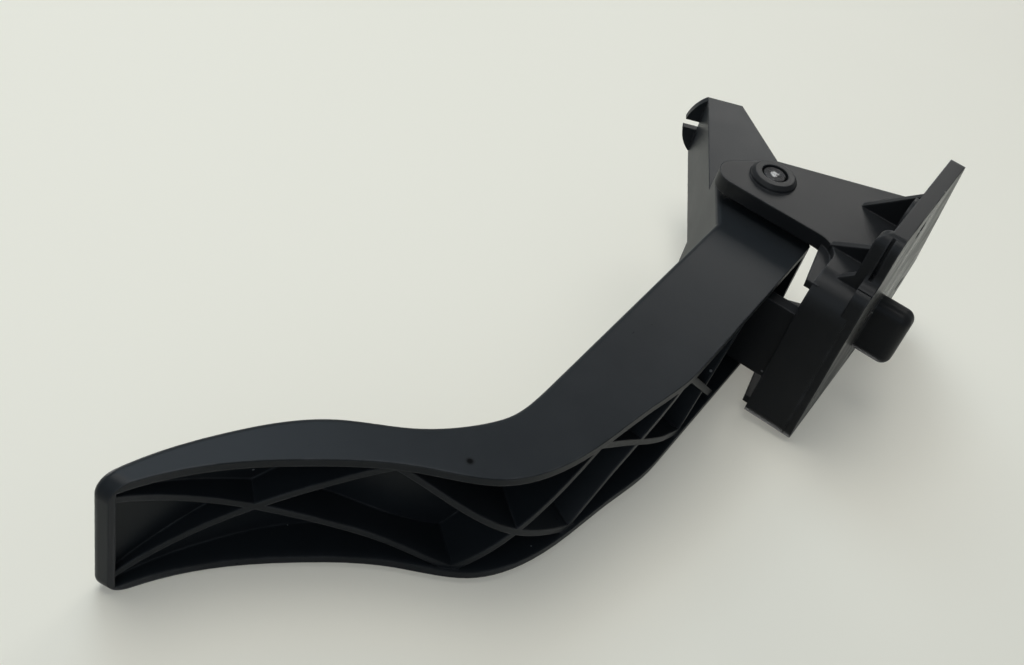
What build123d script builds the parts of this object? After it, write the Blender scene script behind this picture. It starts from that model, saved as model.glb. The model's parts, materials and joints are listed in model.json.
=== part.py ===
from build123d import *
import os

os.makedirs("parts", exist_ok=True)

# Everything is drawn about the pivot axis: X along the axis to the driver's right,
# Y towards the firewall, Z up. The last lines move it so that the point midway
# between the two fixing bolts, on the mounting face, is the origin.

# Moulded walls, and how far helper solids overlap or run past what they join or cut
wall = 3.0
rib_thickness = 2.4
rib_recess = 1.0
overlap = 0.5
past_edge = 2.0
far_out = 100.0
tiny = 0.01

# Pedal arm: where the pad ends, in front of and below the pivot, and the side outline as
# shares of those two lengths, the tread from the pad upwards and the back downwards, then
# where the crossed ribs meet the two side walls, from the pad upwards
arm_width = 48.0
pad_forward = 72.0
pad_drop = 254.0
tread_shape = [(1.0, 1.0), (0.833, 0.864), (0.583, 0.764), (0.326, 0.708), (0.139, 0.639), (0.083, 0.543)]
back_shape = [(-0.347, 0.385), (-0.298, 0.488), (-0.215, 0.622), (-0.069, 0.701),
              (0.208, 0.754), (0.486, 0.82), (0.694, 0.884), (0.918, 0.996)]
right_joint_shape = [(1.022, 1.01), (0.275, 0.764), (-0.285, 0.573), (-0.306, 0.394), (-0.306, 0.22)]
left_joint_shape = [(1.022, 1.01), (0.061, 0.702), (-0.285, 0.573), (-0.306, 0.321), (-0.306, 0.22)]
pad_tread_heading = (0.15, 1)
pad_back_heading = (-0.35, -1)
knee_z = -27.0
shoulder_run = 30.5
shoulder_points = [(-9.0, 10.0), (8.0, 11.0)]
pad_corner_radius = 6.0
tread_edge_radius = 2.0

# Cable lever above the pivot
lever_forward = 50.5
lever_rise = 56.0
lever_top_depth = 15.0
lever_back = [(2.0, 30.5), (20.0, 8.0)]
lever_width = 26.0
lever_offset = 3.0
lever_end_length = 13.0
nose_height = 3.0
nose_reach = 6.0
nipple_radius = 4.5
nipple_depth = 9.0
wire_slot = 4.0

# Pivot
pin_radius = 4.0
pin_fit = 0.05
pin_head_radius = 7.0
pin_head_length = 2.5
pin_upset_radius = 4.7
pin_upset_length = 1.2
pin_edge_bevel = 0.7
counterbore_clearance = 0.3
counterbore_depth = 1.6
hub_radius = 12.0
bush_radius = 6.5
bush_flange_radius = 10.5
bush_flange_thickness = 3.7
bush_length = 14.0
side_clearance = 0.3

# Mounting bracket
cheek_thickness = 6.0
cheek_boss_radius = 8.8
cheek_boss_height = 2.2
boss_edge_bevel = 1.3
ear_bottom_z = -16.0
ear_points = [(-3.7, 11.0), (-15.8, -3.5), (-17.4, -10.0), (-10.5, ear_bottom_z)]
cheek_top_z = 38.0
arch_radius = 9.0
lip_thickness = 3.0
lip_top_y = 28.6
lip_foot = (32.9, -38.5)
base_front_y = 35.4
base_bottom_z = -42.0
base_wall = 3.5
base_right_round = 12.0
base_left_round = 5.0
base_inner_round = 8.0
base_wall_top_z = -20.0
plate_front_y = 49.0
plate_thickness = 5.6
plate_step = 1.0
plate_step_y = 51.6
plate_corner = 5.0
plate_peak = (-12.0, 72.0)
plate_left_top_z = 66.0
flange_step = 4.0
flange_width = 19.0
flange_bottom_z = -33.0
flange_top_z = 34.0
rim_front_y = 45.6
rim_height = 6.0
rim_round = 4.0
slit_width = 1.2
slit_depth = 3.0
slit_y = 50.2
gusset_thickness = 3.0
gussets = [(14.5, 31.2, 16.0), (-17.0, 31.7, 9.4), (-31.5, 40.9, 7.5)]
tongue_clearance = 5.0
tongue_front_y = 16.0
tongue_height = 5.0

# Fixing to the firewall
bolt_hole_radius = 3.4
bolt_seat_radius = 9.0
bolt_seat_height = 1.5
upper_bolt_x = -16.0
upper_bolt_z = 56.0
side_bolt_out = 12.0
side_bolt_z = -1.0
peg_half_width = 12.3
peg_bottom_z = -3.5
peg_height = 10.0
peg_length = 14.4
peg_round = 4.0

# Derived sizes
half_width = arm_width / 2
inner_half = half_width - wall
tread_points, back_points, right_joints, left_joints = [
    [Vector(-pad_forward * forward, -pad_drop * drop) for forward, drop in shape]
    for shape in (tread_shape, back_shape, right_joint_shape, left_joint_shape)
]
arm_back_y = back_points[0].X
knee = Vector(tread_points[-1].X, knee_z)
lever_tip = Vector(-lever_forward, lever_rise)
web_top = 2 * overlap - hub_radius
closing_web_z = web_top - wall
lever_dir = (lever_tip - knee).normalized()
lever_in = Vector(lever_dir.Y, -lever_dir.X)
lever_length = (lever_tip - knee).length
lever_root_run = (closing_web_z - knee_z) / lever_dir.Y
web_run = (web_top - knee_z - wall * lever_in.Y) / lever_dir.Y
lever_left = lever_offset - lever_width / 2
lever_right = lever_offset + lever_width / 2
nose_radius = ((lever_width / 2) ** 2 + nose_reach ** 2) / (2 * nose_reach)
nipple_setback = lever_top_depth / 2
cheek_inner = half_width + bush_flange_thickness + side_clearance
cheek_outer = cheek_inner + cheek_thickness
boss_outer = cheek_outer + cheek_boss_height
upset_from = boss_outer - counterbore_depth
tongue_half_width = inner_half - tongue_clearance
mount_y = plate_front_y + plate_thickness
behind = plate_front_y + 2 * overlap
plate_bottom_z = base_bottom_z + plate_step
flange_left_x = cheek_outer + flange_step
flange_right_x = flange_left_x + flange_width
upper_bolt = Vector(upper_bolt_x, upper_bolt_z)
side_bolt = Vector(cheek_outer + side_bolt_out, side_bolt_z)
bolt_centre = (upper_bolt + side_bolt) * 0.5


def across(outline, x_from, x_to):
    # a solid with this outline in Y and Z, between two places along the pivot axis
    face = make_face(Plane.YZ.offset(x_from) * outline)
    return extrude(face, amount=x_to - x_from, dir=(1, 0, 0))


def along(outline, y_from, y_to):
    # a solid with this outline in X and Z, between two places along Y
    face = make_face(Plane((0, y_from, 0), x_dir=(1, 0, 0), z_dir=(0, -1, 0)) * outline)
    return extrude(face, amount=y_to - y_from, dir=(0, 1, 0))


def stacked(outline, z_from, z_to):
    # a solid with this outline in X and Y, between two heights
    face = make_face(Plane.XY.offset(z_from) * outline)
    return extrude(face, amount=z_to - z_from, dir=(0, 0, 1))


def block(x, y, z):
    # a box from three pairs of limits
    centre = Pos((x[0] + x[1]) / 2, (y[0] + y[1]) / 2, (z[0] + z[1]) / 2)
    return centre * Box(x[1] - x[0], y[1] - y[0], z[1] - z[0])


def rod(radius, x_from, x_to):
    # a cylinder on the pivot axis
    return Pos((x_from + x_to) / 2, 0, 0) * Rot(0, 90, 0) * Cylinder(radius, x_to - x_from)


def stud(radius, place, y_from, y_to):
    # a cylinder along Y at a place given in X and Z
    return Pos(place.X, (y_from + y_to) / 2, place.Y) * Rot(90, 0, 0) * Cylinder(radius, y_to - y_from)


def beside(curve, distance, count=13):
    # a smooth curve that keeps one distance to the right of another
    points = []
    for i in range(count):
        heading = curve % (i / (count - 1))
        points.append((curve @ (i / (count - 1))) + Vector(heading.Y, -heading.X) * distance)
    return Spline(*points)


def closed(*curves):
    # one outline from curves that follow on, with straight lines where they don't meet
    outline = Curve()
    for curve, following in zip(curves, curves[1:] + curves[:1]):
        outline += curve
        if ((curve @ 1) - (following @ 0)).length > tiny:
            outline += Line(curve @ 1, following @ 0)
    return outline


def on_lever(run, depth):
    # a point this far up the lever's front face and this deep behind it
    return knee + lever_dir * run + lever_in * depth


def in_space(point, x=0.0):
    # a point of a side outline, placed along the pivot axis
    return Vector(x, point.X, point.Y)


def is_on(curve, edge):
    # whether the middle of an edge lies on a curve of the side outline, at any width
    middle = edge @ 0.5
    return (Plane.YZ * curve).distance_to(Vertex(0, middle.Y, middle.Z)) < tiny


# Pedal arm: a channel, open towards the firewall, between a tread and two side walls
tread = Spline(*tread_points, tangents=[pad_tread_heading, (0, 1)])
back = Spline(*back_points, tangents=[(0, -1), pad_back_heading])
shoulder = Polyline(knee, on_lever(shoulder_run, 0), *shoulder_points, (arm_back_y, web_top), back @ 0)
body = across(closed(tread, shoulder, back), -half_width, half_width)
pad_end = body.faces().sort_by(Axis.Z)[0]
body = fillet([e for e in pad_end.edges() if abs((e % 0.5).X) < 0.1], pad_corner_radius)
front = Polyline(tread @ 1, knee, on_lever(shoulder_run, 0))
front_edges = [e for e in body.edges() if is_on(tread, e) or is_on(front, e)]
body = fillet(front_edges, tread_edge_radius)

hollow_top = Polyline((knee.X + wall, closing_web_z), (arm_back_y + past_edge, closing_web_z))
hollow = across(closed(beside(tread, wall), hollow_top, beside(back, -past_edge)), -inner_half, inner_half)
hollow -= block((-half_width, half_width), (-far_out, 0), (-pad_drop - wall, wall - pad_drop))
root = Polyline(on_lever(web_run, wall), on_lever(far_out, wall), (far_out, far_out), (far_out, web_top),
                close=True)
arm = body - hollow - across(root, -inner_half, inner_half)

# Crossed ribs, each from a joint on one side wall up to the next joint on the other
rib_top = Polyline((knee.X + wall - overlap, closing_web_z), (arm_back_y - rib_recess, closing_web_z))
rib_outline = closed(beside(tread, wall - overlap), rib_top, beside(back, rib_recess))
rib_room = across(rib_outline, -inner_half - overlap, inner_half + overlap)
ribs = Part()
for way, lows, highs in ((1, left_joints, right_joints), (-1, right_joints, left_joints)):
    for low, high in zip(lows, highs[1:]):
        run = high - low
        depth_way = in_space(Vector(run.Y, -run.X).normalized())
        rib_way = Vector(2 * way * inner_half, run.X, run.Y)
        plate = Plane(in_space((low + high) * 0.5), x_dir=rib_way, z_dir=depth_way)
        ribs += plate * Box(rib_way.length + 2 * past_edge, rib_thickness, far_out)
arm += ribs & rib_room & body

# Cable lever: a narrower channel with a split, rounded nose and a nipple socket behind it
lever_top_back = on_lever(lever_length, lever_top_depth)
lever_foot = (lever_back[-1][0], closing_web_z)
lever_outline = Polyline(on_lever(lever_root_run, 0), lever_tip, lever_top_back, *lever_back, lever_foot,
                         close=True)
lever = across(lever_outline, lever_left, lever_right)
lever_end_run = lever_length - lever_end_length
lever_hollow = Polyline(on_lever(web_run, wall), on_lever(lever_end_run, wall),
                        on_lever(lever_end_run, far_out), (far_out, web_top), close=True)
lever -= across(lever_hollow, lever_left + wall, lever_right - wall)
nose_middle = on_lever(lever_length - nose_height / 2, 0)
nose_plane = Plane(in_space(nose_middle, lever_offset), x_dir=(1, 0, 0), z_dir=in_space(lever_dir))
nose_round = nose_plane * Pos(0, nose_radius - nose_reach, 0) * Cylinder(nose_radius, nose_height)
nose_room = Box(lever_width, nose_reach + 2 * overlap, nose_height)
nose = nose_round & (nose_plane * Pos(0, -nose_reach / 2, 0) * nose_room)
lever += nose - nose_plane * Box(wire_slot, far_out, far_out)
socket = nose_plane * Pos(0, nipple_setback, (nose_height - nipple_depth) / 2 + past_edge)
lever -= socket * Cylinder(nipple_radius, nipple_depth + 2 * past_edge)
lever -= nose_plane * Pos(0, nipple_setback / 2, overlap) * Box(wire_slot, nipple_setback + overlap, nose_height)
arm += lever
arm += rod(hub_radius, -half_width, half_width)
arm -= rod(bush_radius, -arm_width, arm_width)

# Two flanged bushes in the hub, turning on the pin
bush = rod(bush_radius, half_width - bush_length, half_width)
bush += rod(bush_flange_radius, half_width, half_width + bush_flange_thickness)
bush -= rod(pin_radius + pin_fit, 0, arm_width)
bushes = Compound([bush, mirror(bush, Plane.YZ)])

# Pivot pin: a head on one side, the other end upset into a counterbore
pin = rod(pin_radius, -boss_outer, upset_from)
pin += rod(pin_upset_radius, upset_from, upset_from + pin_upset_length)
pin += rod(pin_head_radius, -boss_outer - pin_head_length, -boss_outer)
pin_ends = pin.faces().filter_by(Axis.X).sort_by(Axis.X)
pin = chamfer(pin_ends[0].edges() + pin_ends[-1].edges(), pin_edge_bevel)

# Mounting bracket: a yoke of two cheeks on a hollow base and a flange
arch_start = (base_front_y - arch_radius, ear_bottom_z)
arch_end = (base_front_y, ear_bottom_z - arch_radius)
cheek_outline = closed(
    Polyline((behind, arch_end[1]), (behind, cheek_top_z), ear_points[0], ear_points[1]),
    ThreePointArc(ear_points[1], ear_points[2], ear_points[3]),
    Line(ear_points[3], arch_start),
    RadiusArc(arch_start, arch_end, arch_radius),
    Line(arch_end, (behind, arch_end[1])),
)
cheek = across(cheek_outline, cheek_inner, cheek_outer)
cheek += rod(cheek_boss_radius, cheek_outer - overlap, boss_outer)
cheek = chamfer(cheek.faces().sort_by(Axis.X)[-1].edges(), boss_edge_bevel)
lip_back_y = base_front_y + past_edge
lip_outline = Polyline((lip_top_y, ear_bottom_z), lip_foot, (lip_back_y, lip_foot[1]), (lip_back_y, ear_bottom_z),
                       close=True)
cheek += across(lip_outline, cheek_inner, cheek_inner + lip_thickness)
bracket = cheek + mirror(cheek, Plane.YZ)

inner_bottom = base_bottom_z + base_wall
base_left = FilletPolyline((-cheek_outer, base_wall_top_z), (-cheek_outer, base_bottom_z), (0, base_bottom_z),
                           radius=base_left_round)
base_right = FilletPolyline((0, base_bottom_z), (cheek_outer, base_bottom_z), (cheek_outer, base_wall_top_z),
                            radius=base_right_round)
base_inner = FilletPolyline((cheek_inner, base_wall_top_z), (cheek_inner, inner_bottom),
                            (-cheek_inner, inner_bottom), (-cheek_inner, base_wall_top_z),
                            radius=base_inner_round)
bracket += along(closed(base_left, base_right, base_inner), base_front_y, plate_step_y)

plate_left_x = -cheek_outer - plate_step
plate_points = [(plate_left_x, plate_bottom_z), (flange_left_x, plate_bottom_z),
                (flange_left_x, flange_bottom_z), (flange_right_x, flange_bottom_z),
                (flange_right_x, flange_top_z), plate_peak, (plate_left_x, plate_left_top_z)]
plate_outline = FilletPolyline(*plate_points, radius=plate_corner, close=True)
bracket += along(plate_outline, plate_front_y, mount_y)
rib_root_x = cheek_outer - past_edge
rim_end = (flange_right_x, rim_front_y + rim_round)
rim_outline = closed(
    Polyline((rib_root_x, behind), (rib_root_x, rim_front_y), (flange_right_x - rim_round, rim_front_y)),
    RadiusArc((flange_right_x - rim_round, rim_front_y), rim_end, -rim_round),
    Line(rim_end, (flange_right_x, behind)),
)
rim = stacked(rim_outline, flange_bottom_z, flange_bottom_z + rim_height)
bracket += rim & along(plate_outline, rim_front_y - past_edge, behind + past_edge)
bracket -= block((flange_left_x + past_edge, flange_right_x + past_edge), (slit_y, slit_y + slit_width),
                 (flange_bottom_z - past_edge, flange_bottom_z + slit_depth))
for height, tip_y, reach in gussets:
    foot_x = cheek_outer + reach
    gusset = Polyline((rib_root_x, tip_y), (cheek_outer, tip_y), (foot_x, plate_front_y), (foot_x, behind),
                      (rib_root_x, behind), close=True)
    bracket += stacked(gusset, height - gusset_thickness / 2, height + gusset_thickness / 2)

# Full-throttle stop: a tongue on the floor of the base that reaches into the channel of the arm
tongue_bottom_z = inner_bottom - overlap
bracket += block((-tongue_half_width, tongue_half_width), (tongue_front_y, behind),
                 (tongue_bottom_z, tongue_bottom_z + tongue_height))

# Locating peg on the mounting face, bolt seats and holes
peg = block((-peg_half_width, peg_half_width), (mount_y - overlap, mount_y + peg_length),
            (peg_bottom_z, peg_bottom_z + peg_height))
bracket += fillet(peg.edges() - peg.edges().group_by(Axis.Y)[0], peg_round)
for place in (upper_bolt, side_bolt):
    bracket += stud(bolt_seat_radius, place, plate_front_y - bolt_seat_height, behind)
    bracket -= stud(bolt_hole_radius, place, rim_front_y, mount_y + past_edge)
bracket -= rod(pin_radius, -far_out, far_out)
bracket -= rod(pin_upset_radius + counterbore_clearance, upset_from, far_out)

# Each piece in its own file, about the middle of the bolts on the mounting face
to_mount = Pos(-bolt_centre.X, -mount_y, -bolt_centre.Y)
export_step(to_mount * arm, "parts/pedal_arm.step")
export_step(to_mount * bracket, "parts/mounting_bracket.step")
export_step(to_mount * pin, "parts/pivot_pin.step")
export_step(to_mount * bushes, "parts/pivot_bushes.step")
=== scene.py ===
import json
import math
import bpy
from mathutils import Matrix, Vector

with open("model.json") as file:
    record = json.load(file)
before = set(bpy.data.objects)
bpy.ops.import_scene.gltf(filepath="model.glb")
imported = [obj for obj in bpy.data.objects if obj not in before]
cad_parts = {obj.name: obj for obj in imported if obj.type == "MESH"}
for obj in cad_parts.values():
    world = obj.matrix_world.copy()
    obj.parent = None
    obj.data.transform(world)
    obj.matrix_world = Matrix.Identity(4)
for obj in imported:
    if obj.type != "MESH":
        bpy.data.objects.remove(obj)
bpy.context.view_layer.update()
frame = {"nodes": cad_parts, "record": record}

pivot = Vector(frame["record"]["behaviour"]["joints"][0]["pos_m"])   # a point on the pin's axis
scene = bpy.context.scene
scene.view_settings.view_transform = "Standard"


def feed(tree, socket, value):  # a socket is linked, a plain value is set
    if isinstance(value, bpy.types.NodeSocket):
        tree.links.new(value, socket)
    else:
        socket.default_value = value


def addNode(tree, kind, inputs=None, **settings):
    node = tree.nodes.new(kind)
    for key, value in settings.items():
        setattr(node, key, value)
    for key, value in (inputs or {}).items():
        feed(tree, node.inputs[key], value)
    return node


def mathNode(tree, operation, *values):
    return addNode(tree, "ShaderNodeMath", dict(enumerate(values)), operation=operation).outputs[0]


def vectorNode(tree, operation, a, b):  # lengths and products come out as Value, the rest as Vector
    return addNode(tree, "ShaderNodeVectorMath", {0: a, 1: b}, operation=operation).outputs


def rampNode(tree, value, low, high):  # 0 below low, 1 above high
    inputs = {"Value": value, "From Min": low, "From Max": high}
    return addNode(tree, "ShaderNodeMapRange", inputs, interpolation_type="SMOOTHSTEP").outputs["Result"]


def mixColor(tree, factor, a, b):
    return addNode(tree, "ShaderNodeMix", {0: factor, 6: a, 7: b}, data_type="RGBA").outputs[2]


def noiseNode(tree, coords, scale, detail=3.0, roughness=0.5):
    inputs = {"Vector": coords, "Scale": scale, "Detail": detail, "Roughness": roughness}
    return addNode(tree, "ShaderNodeTexNoise", inputs).outputs["Fac"]


def streakNoise(tree, coords, streak, detail, roughness=0.5):  # turned first, so that streaks slant
    turned = addNode(tree, "ShaderNodeMapping", {"Vector": coords, "Rotation": streak["turn"]}).outputs[0]
    drawn = addNode(tree, "ShaderNodeMapping", {"Vector": turned, "Scale": streak["scale"]}).outputs[0]
    return rampNode(tree, noiseNode(tree, drawn, 1.0, detail, roughness), *streak["ramp"])


def newMaterial(name):
    material = bpy.data.materials.new(name)
    material.use_nodes = True
    tree = material.node_tree
    shader = next(n for n in tree.nodes if n.type == "BSDF_PRINCIPLED")
    coords = addNode(tree, "ShaderNodeTexCoord").outputs["Object"]
    return material, tree, shader, coords


def shownTo(tree, mirrorShare):  # all of it to the camera and through glass, a share to shiny faces
    ray = addNode(tree, "ShaderNodeLightPath").outputs
    direct = mathNode(tree, "ADD", ray["Is Camera Ray"], ray["Is Transmission Ray"])
    mirrored = mathNode(tree, "MULTIPLY", ray["Is Glossy Ray"], mirrorShare)
    return mathNode(tree, "ADD", direct, mirrored)


def dress(nodeName, material):
    slots = frame["nodes"][nodeName].data.materials
    slots.clear()
    slots.append(material)


mouldedLook = {
    "edgeRadius": 0.0007,       # rounding of moulded edges, metres
    "edgeSamples": 6,
    "patchScale": 55.0,         # lighter and darker patches, per metre
    "grainScale": 2600.0,       # mould grain, per metre
    "grainDepth": 0.00005,
    "swellScale": 38.0,         # slow sink marks in the walls, per metre
    "swellDepth": 0.0006,
    "rubbed": {"scale": (260, 900, 260), "turn": (0.5, 0.2, 0.9), "ramp": (0.62, 0.78)},
    "rubbedShine": -0.08,       # change of roughness where the wall is rubbed
    "wearRadius": 0.0016,
    "wearTurn": (0.02, 0.22),   # how far an edge turns where wear starts and is full
    "wearPatches": (0.38, 0.68),
    "wearColor": (0.085, 0.086, 0.09, 1),
    "dustScale": 140.0,         # cells that may hold a speck, per metre
    "dustPick": (0.93, 1.0),    # the few cells that do
    "dustSize": 0.075,          # share of a cell
    "dustColor": (0.32, 0.32, 0.31, 1),
}


def wornEdges(tree, v, patches):
    bevel = {"Radius": v["wearRadius"]}
    rounded = addNode(tree, "ShaderNodeBevel", bevel, samples=v["edgeSamples"]).outputs["Normal"]
    flat = addNode(tree, "ShaderNodeNewGeometry").outputs["Normal"]
    facing = vectorNode(tree, "DOT_PRODUCT", rounded, flat)["Value"]
    edge = rampNode(tree, mathNode(tree, "SUBTRACT", 1.0, facing), *v["wearTurn"])
    wornEdge = mathNode(tree, "MULTIPLY", edge, rampNode(tree, patches, *v["wearPatches"]))
    return mathNode(tree, "MULTIPLY", wornEdge, v["wear"])


def dustSpecks(tree, v, coords):
    cells = addNode(tree, "ShaderNodeTexVoronoi", {"Vector": coords, "Scale": v["dustScale"]}).outputs
    cellPick = addNode(tree, "ShaderNodeSeparateColor", {"Color": cells["Color"]}).outputs["Red"]
    speckSize = mathNode(tree, "MULTIPLY", rampNode(tree, cellPick, *v["dustPick"]), v["dustSize"])
    speck = mathNode(tree, "LESS_THAN", cells["Distance"], speckSize)
    return mathNode(tree, "MULTIPLY", speck, v["dust"])


def wallRelief(tree, v, coords):  # soft edges, then sink marks, then grain
    bevel = {"Radius": v["edgeRadius"]}
    normal = addNode(tree, "ShaderNodeBevel", bevel, samples=v["edgeSamples"]).outputs["Normal"]
    swell = noiseNode(tree, coords, v["swellScale"], detail=1.0)
    grain = noiseNode(tree, coords, v["grainScale"], detail=2.0, roughness=0.6)
    for height, strength, depth in ((swell, "swell", "swellDepth"), (grain, "grain", "grainDepth")):
        inputs = {"Strength": v[strength], "Distance": v[depth], "Height": height, "Normal": normal}
        normal = addNode(tree, "ShaderNodeBump", inputs).outputs["Normal"]
    return normal


def mouldedPlastic(name, look):
    v = {**mouldedLook, **look}
    material, tree, shader, coords = newMaterial(name)
    patches = noiseNode(tree, coords, v["patchScale"], detail=4.0, roughness=0.6)
    color = mixColor(tree, patches, v["darkColor"], v["lightColor"])
    color = mixColor(tree, wornEdges(tree, v, patches), color, v["wearColor"])
    color = mixColor(tree, dustSpecks(tree, v, coords), color, v["dustColor"])
    smoothest = v["roughness"] - v["roughSpread"] / 2
    rough = mathNode(tree, "MULTIPLY_ADD", patches, v["roughSpread"], smoothest)
    rubbed = streakNoise(tree, coords, v["rubbed"], detail=3.0)
    shine = mathNode(tree, "MULTIPLY", rubbed, v["rubbedShine"])
    rough = mathNode(tree, "ADD", rough, shine)
    shader.inputs["Specular IOR Level"].default_value = v["specular"]
    tree.links.new(wallRelief(tree, v, coords), shader.inputs["Normal"])
    return material, tree, shader, coords, color, rough


def finishPlastic(tree, shader, color, rough):
    tree.links.new(color, shader.inputs["Base Color"])
    tree.links.new(rough, shader.inputs["Roughness"])


armLook = {
    "darkColor": (0.0140, 0.0162, 0.0185, 1),
    "lightColor": (0.0200, 0.0230, 0.0258, 1),
    "roughness": 0.35,
    "roughSpread": 0.12,
    "specular": 0.135,
    "grain": 0.35,
    "swell": 0.22,
    "wear": 0.55,
    "dust": 0.75,
    "markPlace": (0.009, -0.0607, -0.2076),   # round moulding mark on the right wall
    "markRadius": 0.0015,
    "markEdge": (0.3, 1.2),     # shares of the radius where the mark starts to fade and is gone
    "markColor": (0.002, 0.0022, 0.0025, 1),
    "markRoughness": 1.0,
}
armPlastic, tree, shader, coords, color, rough = mouldedPlastic("armPlastic", armLook)
fromMark = vectorNode(tree, "DISTANCE", coords, armLook["markPlace"])["Value"]
fadeStart, fadeEnd = (share * armLook["markRadius"] for share in armLook["markEdge"])
offMark = rampNode(tree, fromMark, fadeStart, fadeEnd)
color = mixColor(tree, offMark, armLook["markColor"], color)
onMark = mathNode(tree, "SUBTRACT", 1.0, offMark)
markRough = mathNode(tree, "MULTIPLY", onMark, armLook["markRoughness"])
rough = mathNode(tree, "MAXIMUM", rough, markRough)
finishPlastic(tree, shader, color, rough)
dress("pedal_arm", armPlastic)
print("pedal arm dressed")

bracketLook = {
    "darkColor": (0.0125, 0.0132, 0.0142, 1),
    "lightColor": (0.0195, 0.0203, 0.0215, 1),
    "roughness": 0.38,
    "roughSpread": 0.14,
    "specular": 0.16,
    "grain": 0.28,
    "swell": 0.25,
    "wear": 0.7,
    "dust": 0.55,
    "faceStart": (-0.0006, -0.0001),   # the mounting face lies at Y = 0, and only it is scuffed
    "faceEnd": 0.0006,
    "smear": {"scale": (62, 40, 30), "turn": (0, -0.96, 0), "ramp": (0.38, 0.72)},
    "smearColor": (0.080, 0.078, 0.072, 1),
    "smearPolish": 0.16,
    "downward": {"scale": (520, 40, 18), "turn": (0, 0.25, 0), "ramp": (0.65, 0.72)},
    "slanting": {"scale": (560, 40, 16), "turn": (0, -0.85, 0), "ramp": (0.69, 0.76)},
    "scratchColor": (0.46, 0.45, 0.41, 1),
    "handledScale": 34.0,       # areas that carry the scratches, per metre
    "handledRamp": (0.42, 0.56),
}
bracketPlastic, tree, shader, coords, color, rough = mouldedPlastic("bracketPlastic", bracketLook)
depth = addNode(tree, "ShaderNodeSeparateXYZ", {"Vector": coords}).outputs["Y"]
pastStart = rampNode(tree, depth, *bracketLook["faceStart"])
onFace = mathNode(tree, "MULTIPLY", pastStart, mathNode(tree, "LESS_THAN", depth, bracketLook["faceEnd"]))
smear = streakNoise(tree, coords, bracketLook["smear"], detail=4.0, roughness=0.6)
smear = mathNode(tree, "MULTIPLY", smear, onFace)
downward = streakNoise(tree, coords, bracketLook["downward"], detail=2.0)
slanting = streakNoise(tree, coords, bracketLook["slanting"], detail=2.0)
scratch = mathNode(tree, "MAXIMUM", downward, slanting)
handled = rampNode(tree, noiseNode(tree, coords, bracketLook["handledScale"]), *bracketLook["handledRamp"])
scratch = mathNode(tree, "MULTIPLY", mathNode(tree, "MULTIPLY", scratch, handled), onFace)
color = mixColor(tree, smear, color, bracketLook["smearColor"])
color = mixColor(tree, scratch, color, bracketLook["scratchColor"])
polish = mathNode(tree, "MULTIPLY", smear, bracketLook["smearPolish"])
finishPlastic(tree, shader, color, mathNode(tree, "SUBTRACT", rough, polish))
dress("mounting_bracket", bracketPlastic)
print("mounting bracket dressed")

pinLook = {
    "color": (0.50, 0.50, 0.51, 1),
    "stainColor": (0.20, 0.19, 0.18, 1),
    "stainScale": 700.0,        # stains, per metre
    "stainRamp": (0.45, 0.7),
    "stainRoughness": 0.2,
    "oxideColor": (0.035, 0.035, 0.037, 1),
    "oxideFade": 0.0006,
    "glintPatchRadius": 0.0022,       # painted highlight: bright metal in the middle of each end, partly the hammered end's bare steel and partly a painted glint
    "glintPatchRagged": 0.0022,       # how far stains eat into it
    "roughness": 0.27,
    "ringScale": 1500.0,        # turning marks, per metre
    "ringHeight": 0.15,         # beside the hammered marks
    "hammerScale": 900.0,
    "bumpStrength": 0.7,
    "bumpDepth": 0.0004,
}
pinSteel, tree, shader, coords = newMaterial("pinSteel")
fromPivot = vectorNode(tree, "SUBTRACT", coords, pivot)["Vector"]
offset = addNode(tree, "ShaderNodeSeparateXYZ", {"Vector": fromPivot}).outputs
squares = [mathNode(tree, "POWER", offset[axis], 2.0) for axis in ("Y", "Z")]
fromAxis = mathNode(tree, "SQRT", mathNode(tree, "ADD", *squares))
ringWave = mathNode(tree, "SINE", mathNode(tree, "MULTIPLY", fromAxis, pinLook["ringScale"] * math.tau))
stain = noiseNode(tree, coords, pinLook["stainScale"], detail=4.0)
stained = rampNode(tree, stain, *pinLook["stainRamp"])
metal = mixColor(tree, stained, pinLook["color"], pinLook["stainColor"])
# painted highlight: near the axis each end keeps bright metal as its glint, farther out dark oxide
ragged = mathNode(tree, "ADD", fromAxis, mathNode(tree, "MULTIPLY", stain, pinLook["glintPatchRagged"]))
oxide = rampNode(tree, ragged, pinLook["glintPatchRadius"], pinLook["glintPatchRadius"] + pinLook["oxideFade"])
tree.links.new(mixColor(tree, oxide, metal, pinLook["oxideColor"]), shader.inputs["Base Color"])
shader.inputs["Metallic"].default_value = 1.0
rougher = mathNode(tree, "MULTIPLY", stain, pinLook["stainRoughness"])
tree.links.new(mathNode(tree, "ADD", rougher, pinLook["roughness"]), shader.inputs["Roughness"])
hammered = noiseNode(tree, coords, pinLook["hammerScale"], detail=2.0)
height = mathNode(tree, "ADD", mathNode(tree, "MULTIPLY", ringWave, pinLook["ringHeight"]), hammered)
relief = {"Strength": pinLook["bumpStrength"], "Distance": pinLook["bumpDepth"], "Height": height}
tree.links.new(addNode(tree, "ShaderNodeBump", relief).outputs["Normal"], shader.inputs["Normal"])
dress("pivot_pin", pinSteel)

bushLook = {
    "darkColor": (0.030, 0.030, 0.031, 1),
    "lightColor": (0.045, 0.045, 0.046, 1),
    "roughness": 0.38,
    "roughSpread": 0.1,
    "specular": 0.5,
    "grain": 0.2,
    "swell": 0.05,
    "wear": 0.3,
    "dust": 0.2,
}
bushPlastic, tree, shader, coords, color, rough = mouldedPlastic("bushPlastic", bushLook)
finishPlastic(tree, shader, color, rough)
dress("pivot_bushes", bushPlastic)
print("pin and bushes dressed")

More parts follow.
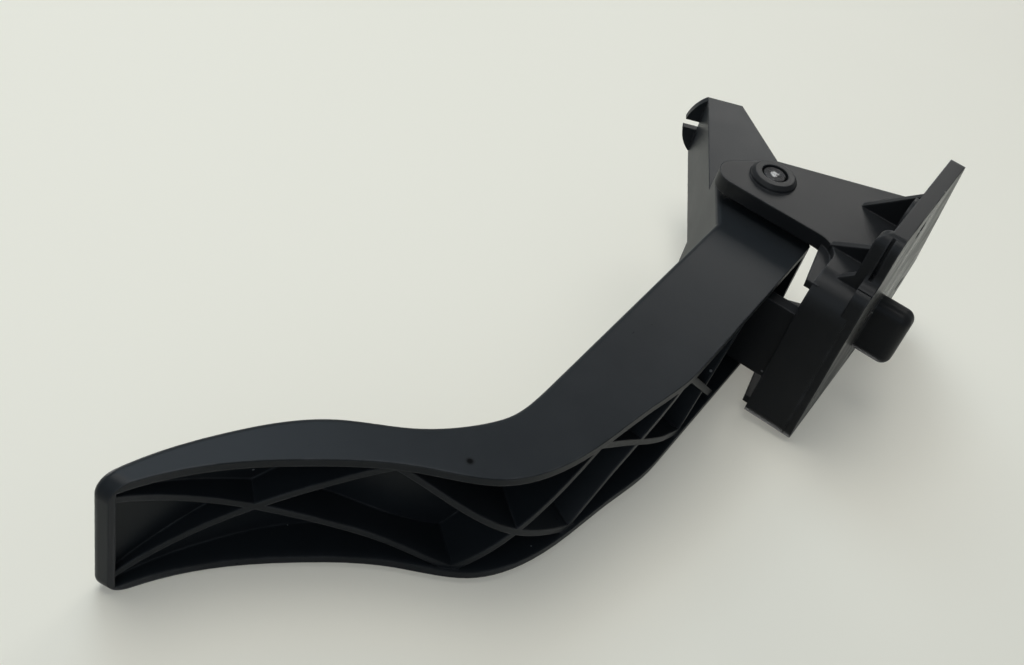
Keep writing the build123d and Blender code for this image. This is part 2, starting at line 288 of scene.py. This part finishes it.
middle = Vector((-0.007, -0.055, -0.12))   # what the lamps point at
tableSet = {
    "color": (0.765, 0.745, 0.66, 1),
    "shadeColor": (0.73, 0.71, 0.62, 1),
    "washScale": 3.0,
    "roughness": 0.75,
    "specular": 0.2,
    "glow": (0.16, 0.26),       # light of the room that the object doesn't shade, near and far side
    "farWay": (0, -0.736, 0.677),
    "farRange": (-0.3, 0.05),   # metres along that way, from the near glow to the far one
    "mirrorShare": 0.3,         # part of the glow that shiny faces show
    "fade": (0.45, 0.95),       # distances between which the table passes into the backdrop
    "size": 6.0,
    "level": -0.05525,          # X of the table below the pin's head
    "normal": Vector((1.0, -0.0397, 0.0753)),
}
half = tableSet["size"] / 2
corners = [(half * x, half * y, 0) for x, y in ((-1, -1), (1, -1), (1, 1), (-1, 1))]
tableMesh = bpy.data.meshes.new("table")
tableMesh.from_pydata(corners, [], [(0, 1, 2, 3)])
table = bpy.data.objects.new("table", tableMesh)
scene.collection.objects.link(table)
table.rotation_euler = tableSet["normal"].to_track_quat("Z", "Y").to_euler()
table.location = (tableSet["level"], pivot.y, pivot.z)
tableMaterial, tree, shader, coords = newMaterial("tableTop")
wash = noiseNode(tree, coords, tableSet["washScale"], detail=2.0)
tree.links.new(mixColor(tree, wash, tableSet["color"], tableSet["shadeColor"]), shader.inputs["Base Color"])
shader.inputs["Roughness"].default_value = tableSet["roughness"]
shader.inputs["Specular IOR Level"].default_value = tableSet["specular"]
shader.inputs["Emission Color"].default_value = tableSet["color"]
surface = addNode(tree, "ShaderNodeNewGeometry").outputs
alongFar = vectorNode(tree, "DOT_PRODUCT", surface["Position"], tableSet["farWay"])["Value"]
farness = rampNode(tree, alongFar, *tableSet["farRange"])
near, far = tableSet["glow"]
glow = mathNode(tree, "ADD", mathNode(tree, "MULTIPLY", farness, far - near), near)
shown = shownTo(tree, tableSet["mirrorShare"])
tree.links.new(mathNode(tree, "MULTIPLY", glow, shown), shader.inputs["Emission Strength"])
away = vectorNode(tree, "DISTANCE", surface["Position"], middle)["Value"]
faded = rampNode(tree, away, *tableSet["fade"])
unseen = mathNode(tree, "MAXIMUM", surface["Backfacing"], faded)   # open from behind, for the left side
clear = addNode(tree, "ShaderNodeBsdfTransparent").outputs[0]
oneSided = addNode(tree, "ShaderNodeMixShader", {0: unseen, 1: shader.outputs[0], 2: clear})
output = next(n for n in tree.nodes if n.type == "OUTPUT_MATERIAL")
tree.links.new(oneSided.outputs[0], output.inputs["Surface"])
tableMesh.materials.append(tableMaterial)
table.visible_shadow = False    # the lamp on the left side shines through it
table.visible_diffuse = False
print("table laid")

worldSet = {
    "sky": (0.68, 0.77, 0.86, 1),
    "ground": (0.40, 0.43, 0.48, 1),
    "strength": 0.22,
    "behindObject": (0.72, 0.72, 0.67, 1),
    "mirrorShare": 0.3,
    "brightWay": Vector((0.95, -0.20, 0.25)),
    "brightRamp": (-0.6, 0.9),
}
world = bpy.data.worlds.new("room")
scene.world = world
world.use_nodes = True
tree = world.node_tree
background = next(n for n in tree.nodes if n.type == "BACKGROUND")
heading = addNode(tree, "ShaderNodeTexCoord").outputs["Generated"]
along = vectorNode(tree, "DOT_PRODUCT", heading, worldSet["brightWay"].normalized())["Value"]
brightness = rampNode(tree, along, *worldSet["brightRamp"])
tree.links.new(mixColor(tree, brightness, worldSet["ground"], worldSet["sky"]), background.inputs["Color"])
background.inputs["Strength"].default_value = worldSet["strength"]
seen = addNode(tree, "ShaderNodeBackground", {"Color": worldSet["behindObject"], "Strength": 1.0})
shown = shownTo(tree, worldSet["mirrorShare"])
both = addNode(tree, "ShaderNodeMixShader", {0: shown, 1: background.outputs[0], 2: seen.outputs[0]})
output = next(n for n in tree.nodes if n.type == "OUTPUT_WORLD")
tree.links.new(both.outputs[0], output.inputs["Surface"])
print("room set")

warm = (1.0, 0.99, 0.97)
lightSet = {   # way from the middle, metres, metres across, watts, colour
    "overhead": ((0.97, -0.24, -0.03), 1.4, 0.9, 8.2, (1.0, 0.99, 0.96)),
    "window": ((0.80, -0.52, 0.33), 1.3, 0.6, 2.9, (0.72, 0.87, 1.0)),
    "ceiling": ((0.43, -0.17, 0.89), 1.4, 0.5, 2.2, (1.0, 0.98, 0.94)),
    "frontFill": ((0.56, 0.15, -0.80), 1.0, 0.8, 1.3, (0.75, 0.88, 1.0)),
    "treadFill": ((-0.03, -0.97, 0.20), 1.3, 0.5, 4.0, warm),
    "leftFill": ((-1.0, 0.0, 0.14), 1.4, 0.5, 9.0, warm),
    "rearFill": ((-0.3, 0.95, 0.30), 1.4, 0.9, 2.0, warm),
}
for name, (way, distance, size, power, tint) in lightSet.items():
    lamp = bpy.data.lights.new(name, "AREA")
    lamp.shape = "DISK"
    lamp.size = size
    lamp.energy = power
    lamp.color = tint
    holder = bpy.data.objects.new(name, lamp)
    outward = Vector(way).normalized()
    holder.location = middle + outward * distance
    holder.rotation_euler = outward.to_track_quat("Z", "Y").to_euler()
    scene.collection.objects.link(holder)
print("lights placed")

cameraSet = {
    "lens": 43.95,
    "sensor": 36.0,
    "nearest": 0.01,
    "place": (0.270, 0.0234, -0.4155),
    "right": (0.225, 0.8022, 0.5518),
    "up": (0.694, -0.530, 0.4875),
}
cameraData = bpy.data.cameras.new("photoCamera")
cameraData.lens = cameraSet["lens"]
cameraData.sensor_width = cameraSet["sensor"]
cameraData.clip_start = cameraSet["nearest"]
camera = bpy.data.objects.new("photoCamera", cameraData)
scene.collection.objects.link(camera)
right = Vector(cameraSet["right"]).normalized()
back = right.cross(Vector(cameraSet["up"])).normalized()
up = back.cross(right)
turn = Matrix((right, up, back)).transposed().to_4x4()
camera.matrix_world = Matrix.Translation(cameraSet["place"]) @ turn
scene.camera = camera
print("camera set")
